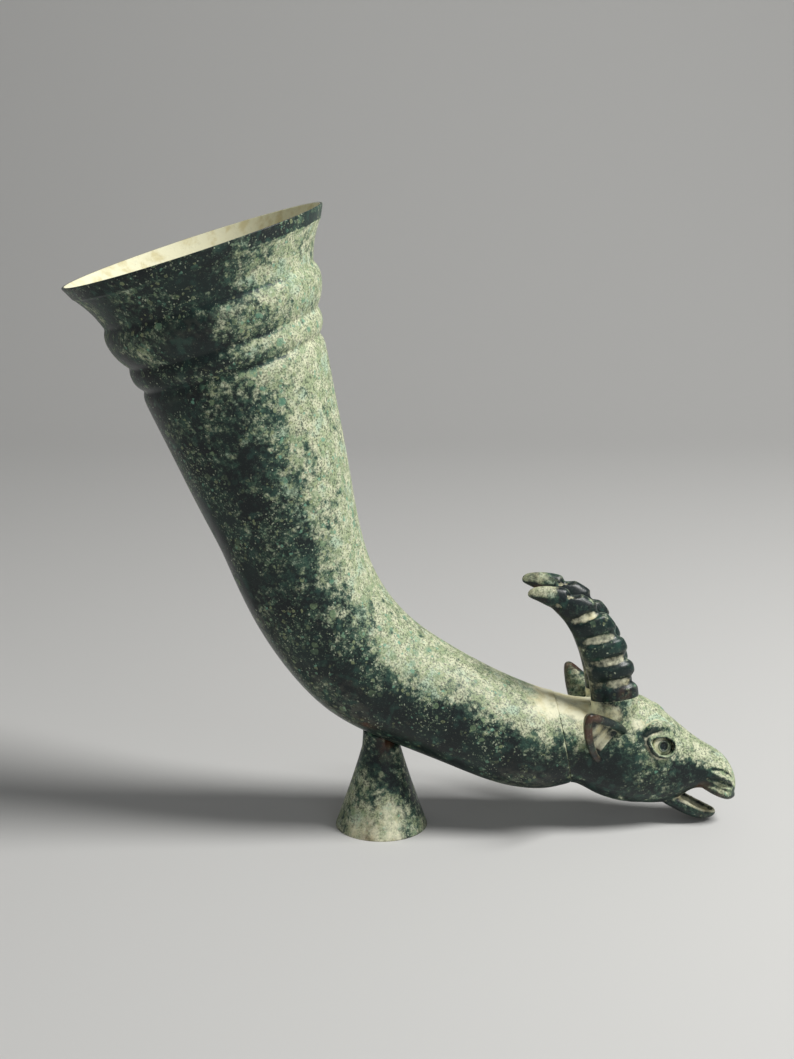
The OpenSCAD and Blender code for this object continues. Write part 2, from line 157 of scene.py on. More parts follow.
# %% [markdown]
# ## Drawing a form out of a ring
# Most parts of this cup are round in section, so they are made as a smith would draw out a bar. A circle
# is extruded again and again, and each new ring is turned, sized and moved to the next station. A
# Subdivision Surface then rounds the whole. It pulls a coarse ring inwards, so each ring starts a
# little fuller than it should end.

# %% Rings and stations


def only(piece):
    """Leave just this piece selected, in object mode."""
    if bpy.context.mode != "OBJECT":
        bpy.ops.object.mode_set(mode="OBJECT")
    bpy.ops.object.select_all(action="DESELECT")
    piece.select_set(True)
    bpy.context.view_layer.objects.active = piece


def turned(angle, centre):
    """Turn the selection in the plane of symmetry, so that a positive angle lifts +X towards +Z."""
    bpy.ops.transform.rotate(value=math.radians(angle), orient_axis="Y", center_override=centre)


def between(top_x, top_z, low_x, low_z, half, side=0):
    """A station given by its top and bottom points in the plane of symmetry, in millimetres."""
    tilt = math.degrees(math.atan2(top_z - low_z, top_x - low_x))
    rise = math.hypot(top_x - low_x, top_z - low_z) / 2
    return ((top_x + low_x) / 2, side, (top_z + low_z) / 2), tilt, rise, half


def draw_out(name, stations, sides, seal=True):
    """A closed or open skin through stations: (centre, tilt in degrees, half height, half width)."""
    full = 3 / (2 + math.cos(2 * math.pi / sides)) * MM
    bpy.ops.object.select_all(action="DESELECT")
    bpy.ops.mesh.primitive_circle_add(vertices=sides, radius=1, fill_type="NOTHING")
    piece = bpy.context.object
    piece.name = name
    bpy.ops.object.mode_set(mode="EDIT")
    bpy.ops.mesh.select_all(action="SELECT")
    centre, tilt, rise, half = Vector((0, 0, 0)), 0, 1, 1
    for number, (place, new_tilt, new_rise, new_half) in enumerate(stations):
        if number:
            bpy.ops.mesh.extrude_region_move()
        place = Vector(place) * MM
        new_rise, new_half = new_rise * full, new_half * full
        turned(-tilt, centre)
        bpy.ops.transform.resize(value=(new_rise / rise, new_half / half, 1), center_override=centre)
        turned(new_tilt, centre)
        bpy.ops.transform.translate(value=place - centre)
        centre, tilt, rise, half = place, new_tilt, new_rise, new_half
    bpy.ops.object.mode_set(mode="OBJECT")
    piece.data.transform(piece.matrix_world)
    piece.matrix_world = Matrix.Identity(4)
    if seal:
        bpy.ops.object.mode_set(mode="EDIT")
        bpy.ops.mesh.select_all(action="DESELECT")
        bpy.ops.mesh.select_non_manifold()
        bpy.ops.mesh.fill_holes(sides=0)
        bpy.ops.mesh.select_all(action="SELECT")
        bpy.ops.mesh.normals_make_consistent(inside=False)
        bpy.ops.object.mode_set(mode="OBJECT")
    return piece


# %% [markdown]
# ## The cup
# Founders cast such a cup in one piece over a core, so its wall is about two millimetres everywhere. The
# stations start at the neck, climb the bent horn, cross the three grooves and two rounded rings, go over
# the rim, and come back down inside. The two ends then meet in the flat ring of the neck.

# %% The cup, drawn out of one ring
MOUTH_LEAN = 17.5
BEND_START = Vector((-36.6, 0, 126.8))
MOUTH_LENGTH = 118

# centre x and z, tilt from level and outer radius of the neck, whose inside is the bore for the spigot
NECK = [(74.5, 37.6, 101, 19.2), (73.9, 37.5, 100.2, 19.45), (70.5, 37.0, 95, 20.0), (66, 36.8, 90, 20.9)]
# the same for the rest of the bent horn, with the thickness of its metal
HORN_BODY = [
    (58, 38, 77, 21.5, 3), (48, 41.6, 68, 21.7, 2), (36, 47.2, 64.5, 21.7, 2),
    (21.5, 54.4, 63, 22.6, 2), (9, 61, 60.5, 23.8, 2), (0.5, 66, 55, 24.8, 2), (-7.5, 72.2, 47.5, 25.5, 2),
    (-15, 80.5, 40, 25.6, 2), (-22, 90.5, 31, 25.8, 2), (-28, 101.5, 24.5, 26.2, 2),
    (-33, 114.5, 18.5, 27, 2),
]
# radius and distance below the rim, from the bend up to the rim
MOUTH_OUTSIDE = [
    (28, 118), (29.7, 107), (31.9, 92), (33.8, 76), (35.4, 64), (36.5, 55.5), (36.95, 51.4), (36.75, 49.3),
    (36.1, 47.9), (36.0, 47.1), (36.7, 46.3), (37.9, 44.9), (38.75, 42.8), (39.0, 40.6), (38.85, 38.8),
    (38.5, 37.6), (38.5, 36.9), (39.2, 36.0), (40.6, 34.2), (42.1, 31.4), (43.2, 28.2), (43.7, 25.2),
    (43.5, 22.8), (42.9, 21.3), (42.4, 20.3), (42.4, 19.4), (42.9, 18.2), (43.8, 15.6), (45, 12.9),
    (46.8, 9.8), (48.5, 7.3), (49.1, 6.4), (49.4, 6.0), (50.0, 5.5), (50.2, 5.1), (51.2, 3), (52.2, 1.1),
    (52.45, 0.35), (52.35, 0.05),
]
MOUTH_INSIDE = [
    (51.9, 0), (51.2, 0.05), (50.9, 0.4), (50.4, 1.2), (47.4, 5.4), (44, 10.3), (41.4, 15.9), (40.3, 21),
    (38.4, 28.4), (36.7, 36.8), (34.6, 47.2), (32.6, 62), (29.9, 88), (26, 118),
]
NECK_BORE, BORE_DEPTH = 16.8, 9.3
# the narrower ledge at the end of the bore, and how near a second ring lies to keep an edge sharp
LEDGE_RADIUS, LEDGE_LENGTH, EDGE = 16.4, 0.5, 0.4


def at_mouth(radius, drop):
    """A station of the straight mouth section."""
    along = Vector((-math.sin(math.radians(MOUTH_LEAN)), 0, math.cos(math.radians(MOUTH_LEAN))))
    return BEND_START + along * (MOUTH_LENGTH - drop), MOUTH_LEAN, radius, radius


def along_neck(depth, radius):
    """A station of the bore in the neck, a given depth from the seam."""
    x, z, tilt = NECK[0][:3]
    back = Vector((-math.sin(math.radians(tilt)), 0, math.cos(math.radians(tilt))))
    return Vector((x, 0, z)) + back * depth, tilt, radius, radius


outer = [((x, 0, z), tilt, r, r) for x, z, tilt, r, *metal in NECK + HORN_BODY]
outer += [at_mouth(*row) for row in MOUTH_OUTSIDE]
inner = [at_mouth(*row) for row in MOUTH_INSIDE]
inner += [((x, 0, z), tilt, r - metal, r - metal) for x, z, tilt, r, metal in reversed(HORN_BODY)]
inner += [along_neck(BORE_DEPTH + LEDGE_LENGTH, LEDGE_RADIUS), along_neck(BORE_DEPTH, LEDGE_RADIUS)]
inner += [along_neck(depth, NECK_BORE) for depth in (BORE_DEPTH, BORE_DEPTH - EDGE, EDGE, 0)]
cup = draw_out("cup", outer + inner, 40, seal=False)


def close_neck(piece):
    """Join the first and the last ring, which face each other at the neck."""
    only(piece)
    bpy.ops.object.mode_set(mode="EDIT")
    bpy.ops.mesh.select_mode(type="EDGE")
    bpy.ops.mesh.select_all(action="DESELECT")
    bpy.ops.mesh.select_non_manifold()
    bpy.ops.mesh.bridge_edge_loops()
    bpy.ops.mesh.select_all(action="SELECT")
    bpy.ops.mesh.normals_make_consistent(inside=False)
    bpy.ops.object.mode_set(mode="OBJECT")


def apply(piece, kind, **settings):
    """Add one modifier with these settings and apply it."""
    only(piece)
    made = piece.modifiers.new(kind.lower(), kind)
    for key, value in settings.items():
        setattr(made, key, value)
    bpy.ops.object.modifier_apply(modifier=made.name)


def rounded(piece, levels):
    apply(piece, "SUBSURF", levels=levels, render_levels=levels)


close_neck(cup)
rounded(cup, 2)
print("cup:", len(cup.data.polygons), "faces")

# %% [markdown]
# ## Clay tools
# The head and horns are sculpture, and no lathe or ring gives their folds. They are built as a sculptor
# builds in clay: lumps and rolls are pressed together, tools cut into them, and Voxel Remesh kneads it
# all to one skin. A few rounds of Smooth then soften each edge as a worn casting is softened.

# %% Clay tools


def roll(name, points, closed=False):
    """A round roll of clay through points (x, y, z, radius), in millimetres."""
    line = bpy.data.curves.new(name, "CURVE")
    line.dimensions, line.bevel_depth, line.bevel_resolution = "3D", MM, 5
    line.use_fill_caps = True
    strand = line.splines.new("NURBS")
    strand.points.add(len(points) - 1)
    strand.order_u, strand.use_endpoint_u, strand.use_cyclic_u = 3, not closed, closed
    strand.resolution_u = 6
    for spot, (x, y, z, radius) in zip(strand.points, points):
        spot.co = (x * MM, y * MM, z * MM, 1)
        spot.radius = radius
    piece = bpy.data.objects.new(name, line)
    bpy.context.scene.collection.objects.link(piece)
    only(piece)
    bpy.ops.object.convert(target="MESH")
    return piece


def lump(name, centre, radii, lean=(0, 0, 0)):
    """An egg of clay: centre, three radii in millimetres, and turns in degrees."""
    bpy.ops.object.select_all(action="DESELECT")
    bpy.ops.mesh.primitive_uv_sphere_add(segments=32, ring_count=16, radius=1)
    piece = bpy.context.object
    piece.name = name
    piece.scale = [r * MM for r in radii]
    piece.rotation_euler = [math.radians(a) for a in lean]
    piece.location = [v * MM for v in centre]
    bpy.ops.object.transform_apply(location=True, rotation=True, scale=True)
    return piece


def peg(name, centre, direction, radius, length):
    """A plain round peg that starts at centre and runs along direction, to make a tenon or cut its socket."""
    bpy.ops.object.select_all(action="DESELECT")
    bpy.ops.mesh.primitive_cylinder_add(vertices=48, radius=radius * MM, depth=length * MM)
    piece = bpy.context.object
    piece.name = name
    way = Vector(direction).normalized()
    piece.rotation_euler = way.to_track_quat("Z", "Y").to_euler()
    piece.location = (Vector(centre) + way * length / 2) * MM
    bpy.ops.object.transform_apply(location=True, rotation=True, scale=True)
    return piece


def press_on(piece, *lumps):
    """Join the lumps to the piece."""
    only(piece)
    for one in lumps:
        one.select_set(True)
    bpy.ops.object.join()


def cut(piece, *tools):
    """Cut each tool's shape out of the piece."""
    for tool in tools:
        apply(piece, "BOOLEAN", operation="DIFFERENCE", object=tool, solver="EXACT")
        bpy.data.objects.remove(tool)


def add_to(piece, *lumps):
    """Unite clean shapes with the piece and keep their sharp edges."""
    for lump_shape in lumps:
        apply(piece, "BOOLEAN", operation="UNION", object=lump_shape, solver="EXACT")
        bpy.data.objects.remove(lump_shape)


def knead(piece, grain, rounds):
    """One new skin of the given grain, in millimetres, smoothed for some rounds."""
    apply(piece, "REMESH", mode="VOXEL", voxel_size=grain * MM, use_smooth_shade=True)
    apply(piece, "SMOOTH", factor=0.5, iterations=rounds)


def uneven(piece, size, depth):
    """Dent the skin softly, as wax and long use do: size of the dents and their depth, in millimetres."""
    cloud = bpy.data.textures.new(piece.name + "_dents", "CLOUDS")
    cloud.noise_scale, cloud.noise_depth = size * MM, 2
    apply(piece, "DISPLACE", texture=cloud, texture_coords="LOCAL", strength=depth * MM, mid_level=0.75)


def mirrored(points):
    """The same points on the other side of the plane of symmetry."""
    return [(x, -y, *rest) for x, y, *rest in points]


# %% [markdown]
# ## The horns
# An ibex grows a knob on the front of each horn every year or two. The plain horn is drawn out first,
# from its seat on the crown to the tip. Rings are then pressed into it from the front, so that the
# grooves run round the front and both sides and leave a plain strip at the back. An egg widens each groove
# at the front, and what stands between two grooves becomes a rounded knob.

# %% Horns
# rear edge x and z, front edge x and z, half of the sideways thickness, root to tip
HORN = [
    (84.8, 56, 104.8, 58.2, 5.8), (84.2, 62, 103.8, 64.8, 5.75), (82.8, 68, 102.2, 71.6, 5.6),
    (80.8, 74, 99.8, 78.4, 5.45), (78.4, 80.2, 96.8, 85.2, 5.2), (75.6, 86.2, 92.2, 92.2, 4.9),
    (72.2, 91.2, 86, 98.4, 4.45), (68.2, 95.2, 78, 103, 3.8), (63.4, 98, 69.4, 105.3, 3),
    (59.4, 99.8, 62.2, 105.3, 2.3), (57, 100.8, 58.2, 104.2, 1.4),
]
HORN_ROOT_Y, HORN_TIP_Y = 7.9, 11
# where the grooves lie in the table, how deep they go in front and at the side, and the ring's own tube
GROOVES = [1.12, 2.6, 4.08, 5.56, 7.04]
GROOVE_FRONT, GROOVE_SIDE, GROOVE_TUBE = 2.1, 1.9, 0.27
# how far the clay runs below the seat before it is cut flat, and the tenon that then holds the horn
HORN_SUNK = 3
TENON_RADIUS, TENON_LENGTH, TENON_HOLD = 3.5, 9, 4


def station(table, t):
    """The row at a fractional place in a table."""
    low = min(int(t), len(table) - 2)
    return [a + (b - a) * (t - low) for a, b in zip(table[low], table[low + 1])]


def horn_y(t):
    return HORN_ROOT_Y + (HORN_TIP_Y - HORN_ROOT_Y) * t / (len(HORN) - 1)


def make_horn(name, side):
    rows = [(*between(fx, fz, rx, rz, half), horn_y(t)) for t, (rx, rz, fx, fz, half) in enumerate(HORN)]
    rings = [((c[0], side * y, c[2]), tilt, rise, half) for c, tilt, rise, half, y in rows]
    lean = math.radians(rings[0][1])
    below = Vector((math.sin(lean), 0, -math.cos(lean))) * HORN_SUNK
    rings = [(Vector(rings[0][0]) + below, *rings[0][1:])] + rings
    piece = draw_out(name, rings, 20)
    rounded(piece, 2)
    for t in GROOVES:
        rx, rz, fx, fz, half = station(HORN, t)
        centre, tilt, rise, half = between(fx, fz, rx, rz, half)
        reach = (rise - (GROOVE_FRONT - 1)) / (1 - GROOVE_TUBE)
        aside = (half - GROOVE_SIDE) / (1 - GROOVE_TUBE)
        ahead = Vector((math.cos(math.radians(tilt)), 0, math.sin(math.radians(tilt))))
        bpy.ops.object.select_all(action="DESELECT")
        bpy.ops.mesh.primitive_torus_add(
            major_segments=48, minor_segments=16, major_radius=1, minor_radius=GROOVE_TUBE)
        ring = bpy.context.object
        ring.scale = (reach * MM, aside * MM, (0.8 + 0.17 * rise) / GROOVE_TUBE * MM)
        ring.rotation_euler = (0, -math.radians(tilt), 0)
        ring.location = (Vector((centre[0], side * horn_y(t), centre[2])) - ahead * 1.2) * MM
        bpy.ops.object.transform_apply(location=True, rotation=True, scale=True)
        egg = (2.4, half * 1.3, 1.9 + 0.1 * rise)
        wider = lump("wider front", (fx, side * horn_y(t), fz), egg, (0, -tilt, 0))
        cut(piece, ring, wider)
    knead(piece, 0.42, 12)
    apply(piece, "SMOOTH", factor=0.9, iterations=34)
    uneven(piece, 5, 0.2)
    seat = Vector(rings[1][0])
    cut(piece, peg("flat", seat, below, 16, 8))
    add_to(piece, peg("tenon", seat - below / HORN_SUNK * TENON_HOLD, below, TENON_RADIUS, TENON_LENGTH))
    return piece


horns = [make_horn("horn_near", -1), make_horn("horn_far", 1)]
print("horns:", [len(h.data.polygons) for h in horns], "faces")

# %% [markdown]
# ## The head
# The skull is drawn out of a ring from the neck to the muzzle. The lower lip is a little spoon that sticks
# out under the mouth. Brows, eyelids, nostrils and lips are rolls of clay laid on both cheeks.

# %% Skull, horn cores and lower lip
# top x and z, bottom x and z, half width, from the neck to the muzzle
SKULL = [
    (68.0, 56.0, 75.1, 18.2, 19.5), (70.9, 56.3, 78.1, 18.9, 19.3), (75.4, 54.9, 80.6, 18.3, 18.8),
    (81, 53.6, 84.5, 15.8, 18.1), (88, 53.4, 89, 13, 17.6), (95, 54.4, 94.5, 10.8, 17.8),
    (102, 55.8, 100, 9.4, 17.8), (108, 54.6, 105.5, 8.8, 17), (113, 51.2, 110, 8.6, 15.8),
    (118, 47, 114.5, 8.4, 14.4), (123, 42.6, 119, 8.8, 12.8), (128, 38.2, 123.5, 10.6, 11.4),
    (132.5, 34.8, 128, 14.4, 10.2), (137, 32.2, 133, 15.2, 9.5), (141.3, 29.6, 138, 12, 9.2),
    (144.8, 25.6, 142.3, 9.6, 8.2), (147.2, 20.4, 145.4, 9.4, 5.9), (147.9, 16.4, 147.1, 12.6, 2.6),
]
LIP = [
    (119, 15, 116, 9, 7.4), (121, 14, 118, 8, 7.8), (127, 12, 123.5, 4.6, 7.8), (131, 9.8, 128.5, 2, 7.2),
    (134.6, 7.8, 133, 0.8, 6.2), (137.6, 6, 136.8, 0.9, 4.6), (140.3, 4.2, 140, 2.3, 1.9),
]
LIP_HOLLOW = [
    (119, 17, 117.6, 12, 2.6), (122.5, 15.6, 121, 9, 3.4), (127.6, 16, 126, 6.2, 5.6),
    (132, 14, 130.8, 3.9, 5.6), (135.8, 11.6, 135, 2.8, 4.4), (139.2, 8.8, 138.9, 3.4, 1.9),
]
CORE = [
    (103.6, 44, 86.4, 42, 5.2), (104.4, 51, 85.8, 49, 5.6), (104.8, 58.2, 84.8, 56, 5.8),
    (104.5, 61, 84.5, 59, 5.8),
]

head = draw_out("ibex_head", [between(*row) for row in SKULL], 28)
rounded(head, 2)
lip = draw_out("lower lip", [between(*row) for row in LIP], 16)
rounded(lip, 2)
spoon = draw_out("lip hollow", [between(*row) for row in LIP_HOLLOW], 16)
rounded(spoon, 2)
cut(lip, spoon)
press_on(head, lip)
for side in (-1, 1):
    core = draw_out("core", [between(*row, side * HORN_ROOT_Y) for row in CORE], 20)
    rounded(core, 1)
    press_on(head, core)

# %% [markdown]
# The face is made for one cheek and repeated for the other. The eye is a domed lump with a heavy hood of a
# brow, and the lids are a raised line round an opening that is drawn to a corner towards the ear. The
# nostril is a slit with a swollen edge, and a soft roll makes the upper lip.

# %% Brows, lids, nostrils and lips
EYE = Vector((114, 13.8, 37.8))
EYE_AXIS = Vector((0.2, 0.94, 0.28)).normalized()
MUZZLE_WAY = Vector((0.94, 0, -0.32))
# rolls on the far cheek: x, y, z and radius of each point
BROW = [
    (106.2, 14.2, 42.4, 1.4), (108.8, 13.4, 45.0, 2.2), (112.6, 11.9, 46.2, 2.6), (116.4, 10.6, 44.6, 2.4),
    (119.2, 9.9, 41.6, 1.6),
]
NOSTRIL_ROLL = [
    (134.9, 8.7, 23.6, 0.5), (137.4, 8.9, 23.0, 1.2), (140.0, 8.6, 22.0, 1.45), (142.6, 7.9, 20.5, 1.35),
    (144.6, 6.9, 18.8, 0.7),
]
UPPER_LIP = [
    (132.6, 7.2, 17.6, 1.0), (135.4, 7.9, 16.6, 1.6), (138.4, 8.1, 15.2, 1.8), (141.4, 7.6, 13.6, 1.7),
    (144.2, 5.8, 12.2, 1.6), (146.2, 2.6, 12.0, 1.5),
]
SLIT_ABOVE = [
    (135.4, 9.3, 25.2, 0.6), (138.4, 9.2, 24.9, 1.1), (141.2, 8.3, 23.8, 1.15), (143.6, 7.1, 22.0, 1.05),
    (145.2, 6.0, 20.2, 0.6),
]
SLIT_BELOW = [
    (133.4, 9.2, 21.6, 0.6), (136.2, 9.3, 20.6, 1.1), (139.2, 9.0, 19.2, 1.25), (142.2, 8.1, 18.0, 1.2),
    (144.6, 6.8, 16.8, 0.8),
]
MOUTH_CORNER = [(127.5, 9.6, 15.2, 0.6), (130.6, 8.2, 14.6, 1.5), (134, 6.6, 13.6, 2)]
# the eye's opening, towards the muzzle and up from the middle of the eye, with its sharp corner at the rear
ALMOND = [
    (-6.1, 0.5), (-4.4, -1.4), (-2.6, -2.9), (-0.3, -3.7), (2.2, -3.3), (4.0, -1.7), (4.5, 0.4), (3.8, 2.3),
    (2.0, 3.3), (-0.5, 3.4), (-2.8, 2.7), (-4.6, 1.6),
]


def eye_frame(side):
    """Middle of one eye, and its directions: to the muzzle, up, and outwards."""
    out = Vector((EYE_AXIS.x, side * EYE_AXIS.y, EYE_AXIS.z))
    forward = (MUZZLE_WAY - out * out.dot(MUZZLE_WAY)).normalized()
    upward = forward.cross(out) * side
    return Vector((EYE.x, side * EYE.y, EYE.z)), forward, -upward if upward.z < 0 else upward, out


def eye_ring(side, reach, lift, radius):
    """Points of a roll that follows the almond, a little outside it."""
    middle, forward, upward, out = eye_frame(side)
    return [(*(middle + forward * u * reach + upward * v * reach + out * lift), radius) for u, v in ALMOND]


def eye_tool(side):
    """A prism with the almond's outline, which opens the lids down to the eyeball."""
    middle, forward, upward, out = eye_frame(side)
    bpy.ops.object.select_all(action="DESELECT")
    bpy.ops.mesh.primitive_circle_add(vertices=len(ALMOND), radius=1, fill_type="NGON")
    tool = bpy.context.object
    for spot, (u, v) in zip(tool.data.vertices, ALMOND):
        spot.co = (middle + forward * u + upward * v - out * 0.2) * MM
    bpy.ops.object.mode_set(mode="EDIT")
    bpy.ops.mesh.select_all(action="SELECT")
    bpy.ops.mesh.extrude_region_move(TRANSFORM_OT_translate={"value": out * 8 * MM})
    bpy.ops.mesh.select_all(action="SELECT")
    bpy.ops.mesh.normals_make_consistent(inside=False)
    bpy.ops.object.mode_set(mode="OBJECT")
    return tool


rolls, slits = [], []
for side in (-1, 1):
    turn = (lambda rows: rows) if side == 1 else mirrored
    rolls.append(lump("eye dome", (112.4, side * 11.4, 38.2), (7.4, 4.4, 7.0), (0, 0, side * 12)))
    rolls.append(roll("lids", eye_ring(side, 1.16, 1.35, 0.95), closed=True))
    slits.append(eye_tool(side))
    for name, points in (("brow", BROW), ("nostril", NOSTRIL_ROLL), ("upper lip", UPPER_LIP)):
        rolls.append(roll(name, turn(points)))
    hollows = (("slit above", SLIT_ABOVE), ("slit below", SLIT_BELOW), ("mouth corner", MOUTH_CORNER))
    for name, points in hollows:
        slits.append(roll(name, turn(points)))
press_on(head, *rolls)
knead(head, 0.45, 4)
cut(head, *slits)
knead(head, 0.42, 3)
uneven(head, 9, 0.25)
print("head:", len(head.data.polygons), "faces")

# %% [markdown]
# The seats are cut last, with sharp edges: the bore behind the neck, the sockets of horns and ears, and
# the round seats in which the eyes lie.

# %% Hollow, sockets and spigot
seam_x, seam_z, seam_tilt = NECK[0][:3]
SEAM = Vector((seam_x, 0, seam_z))
SEAM_AXIS = Vector((math.sin(math.radians(seam_tilt)), 0, -math.cos(math.radians(seam_tilt))))
# top x and z, bottom x and z, half width of the space inside the head
HOLLOW = [
    (72, 51.2, 77.2, 24.4, 13.6), (74.2, 50.6, 78.6, 23.8, 13.6), (80, 48.2, 83.4, 21.6, 13),
    (88, 45.4, 90, 17.8, 11.6), (96, 43.6, 96.4, 15.4, 10.8), (104, 41, 102.6, 13.8, 10.2),
    (110.5, 36.4, 107.6, 13.6, 8.6), (115.4, 30.4, 112.2, 14.6, 6), (118.4, 24.6, 116.6, 17.4, 2.8),
]
HORN_SEAT = ((HORN[0][0] + HORN[0][2]) / 2, HORN_ROOT_Y, (HORN[0][1] + HORN[0][3]) / 2)
HORN_LEAN = math.atan2(2.2, 20)
HORN_AXIS = (-math.sin(HORN_LEAN), 0, math.cos(HORN_LEAN))
CHANNEL_START, CHANNEL_END = Vector((112, 0, 23)), Vector((128, 0, 10.4))
SPIGOT_RADIUS, SPIGOT_BORE, CHANNEL_RADIUS = 16.65, 14.05, 3.5
HORN_SOCKET_RADIUS, HORN_SOCKET_DEPTH = 3.65, 5.3
EYE_SEAT_RADIUS, EYE_SEAT_DEPTH = 4.15, 2.7
EAR_SOCKET_GAP = 0.15

# one cut makes both horn seats, since two cuts that overlap in one plane leave slivers that open the skin
cut(head, peg("behind the seam", SEAM, -SEAM_AXIS, 40, 12),
    peg("above both seats", (HORN_SEAT[0], 0, HORN_SEAT[2]), HORN_AXIS, 18, 8))
hollow = draw_out("hollow", [between(*row) for row in HOLLOW], 20)
rounded(hollow, 1)
add_to(head, peg("spigot", SEAM + SEAM_AXIS, -SEAM_AXIS, SPIGOT_RADIUS, 10))
channel = CHANNEL_END - CHANNEL_START
cut(head, hollow, peg("bore", SEAM + SEAM_AXIS * 2, -SEAM_AXIS, SPIGOT_BORE, 13),
    peg("channel", CHANNEL_START, channel, CHANNEL_RADIUS, channel.length))

EAR_LOW, EAR_HIGH, EAR_TIP = (87.0, 17.2, 32.2), (98.6, 14.2, 46.6), (80.3, 34.2, 58.8)
# how far behind the plane of the rim the tenon lies, and how far up the ear it starts
EAR_PEG_BACK, EAR_PEG_START = 3.3, 2.3
EAR_PEG_RADIUS, EAR_PEG_LENGTH = 2, 3.8


def ear_lines(side):
    """Middle of one ear's root, and its directions: to the tip, to the lower edge, and to the front."""
    low, high, tip = (Vector((x, side * y, z)) for x, y, z in (EAR_LOW, EAR_HIGH, EAR_TIP))
    root = (low + high) / 2
    up = (tip - root).normalized()
    across = (low - high - up * up.dot(low - high)).normalized()
    return root, up, across, up.cross(across) * -side


def ear_peg(side, gap):
    """The tenon of one ear, from its solid root into the temple, or with a gap the socket for it."""
    root, up, across, face = ear_lines(side)
    start = root + up * EAR_PEG_START - face * EAR_PEG_BACK
    return peg("ear peg", start, -up, EAR_PEG_RADIUS + gap, EAR_PEG_LENGTH + 2 * gap)


for side in (-1, 1):
    seat, axis = Vector((HORN_SEAT[0], side * HORN_SEAT[1], HORN_SEAT[2])), Vector(HORN_AXIS)
    middle, forward, upward, out = eye_frame(side)
    cut(head, peg("socket", seat - axis * HORN_SOCKET_DEPTH, axis, HORN_SOCKET_RADIUS, 9),
        ear_peg(side, EAR_SOCKET_GAP),
        peg("eye seat", middle + out * 0.3, -out, EYE_SEAT_RADIUS, EYE_SEAT_DEPTH))
print("head with its hollow:", len(head.data.polygons), "faces")

# %% [markdown]
# ## The ears
# Each ear is a leaf, cupped towards the front, with a thick rolled rim. Its rim is laid out as a ring of
# points. The ring is extruded inwards and pushed back to make the cup, and a roll of clay thickens the rim.
# A second roll fills the cup at its root, so that the tenon starts in solid metal and not in the open cup.

# %% Ears
# the rim: across towards the low root, along to the tip, and its thickness
RIM = [
    (8.0, -1.2, 1.5), (8.3, 3.4, 1.6), (7.4, 9.4, 1.65), (5.5, 17, 1.7), (3.5, 22.4, 1.7), (1.3, 26.8, 1.6),
    (0.1, 28.3, 1.3), (-0.9, 26.8, 1.6), (-2.6, 21, 1.8), (-4.8, 13.6, 1.9), (-6.7, 6, 1.9), (-7.6, 0.4, 1.7),
    (-6.4, -3.2, 1.6), (-2.6, -4.4, 1.6), (3.2, -4.4, 1.5),
]
# the wall of the leaf, and how far its root is set into the skin of the temple, so that no seam shows
EAR_WALL, EAR_SET_IN = 2.2, 0.7


def make_ear(name, side):
    root, up, across, face = ear_lines(side)
    bpy.ops.object.select_all(action="DESELECT")
    bpy.ops.mesh.primitive_circle_add(vertices=len(RIM), radius=1, fill_type="NOTHING")
    ear = bpy.context.object
    ear.name = name
    for spot, (u, v, _) in zip(ear.data.vertices, RIM):
        spot.co = (root + across * u + up * v) * MM
    bpy.ops.object.mode_set(mode="EDIT")
    bpy.ops.mesh.select_all(action="SELECT")
    deep = (root + up * 9) * MM
    for shrink, push in ((0.8, 1.9), (0.7, 1.3), (0.55, 0.7)):
        bpy.ops.mesh.extrude_region_move()
        bpy.ops.transform.resize(value=(shrink,) * 3, center_override=deep)
        bpy.ops.transform.translate(value=-face * push * MM)
    bpy.ops.mesh.edge_face_add()
    bpy.ops.mesh.select_all(action="SELECT")
    bpy.ops.mesh.normals_make_consistent(inside=False)
    bpy.ops.object.mode_set(mode="OBJECT")
    if max(ear.data.polygons, key=lambda f: len(f.vertices)).normal.dot(face) < 0:
        bpy.ops.object.mode_set(mode="EDIT")
        bpy.ops.mesh.flip_normals()
        bpy.ops.object.mode_set(mode="OBJECT")
    apply(ear, "SOLIDIFY", thickness=EAR_WALL * MM, offset=-1)
    rounded(ear, 2)
    points = [(*(root + across * u + up * v), radius) for u, v, radius in RIM]
    solid_root = [(*(root + across * u + up - face * EAR_PEG_BACK), 2.7) for u in (-5.5, 0, 5.5)]
    press_on(ear, roll("rim", points, closed=True), roll("solid root", solid_root))
    knead(ear, 0.34, 16)
    uneven(ear, 6, 0.2)
    deeper = [between(top_x, top_z - EAR_SET_IN, low_x, low_z + EAR_SET_IN, half - EAR_SET_IN)
              for top_x, top_z, low_x, low_z, half in SKULL[1:8]]
    temple = draw_out("temple", deeper, 28)
    rounded(temple, 1)
    cut(ear, temple)
    add_to(ear, ear_peg(side, 0))
    return ear


ears = [make_ear("ear_near", -1), make_ear("ear_far", 1)]
print("ears:", [len(e.data.polygons) for e in ears], "faces")

# %% [markdown]
# ## The eyes and the foot
# An eye is a small round inlay, turned like a button: a pale white, a raised ring for the iris and a dark
# pupil. The foot is a plain hollow cone. Both are spun from an outline, and the foot is then cut to the
# belly of the cup.

# %% Eyes and foot


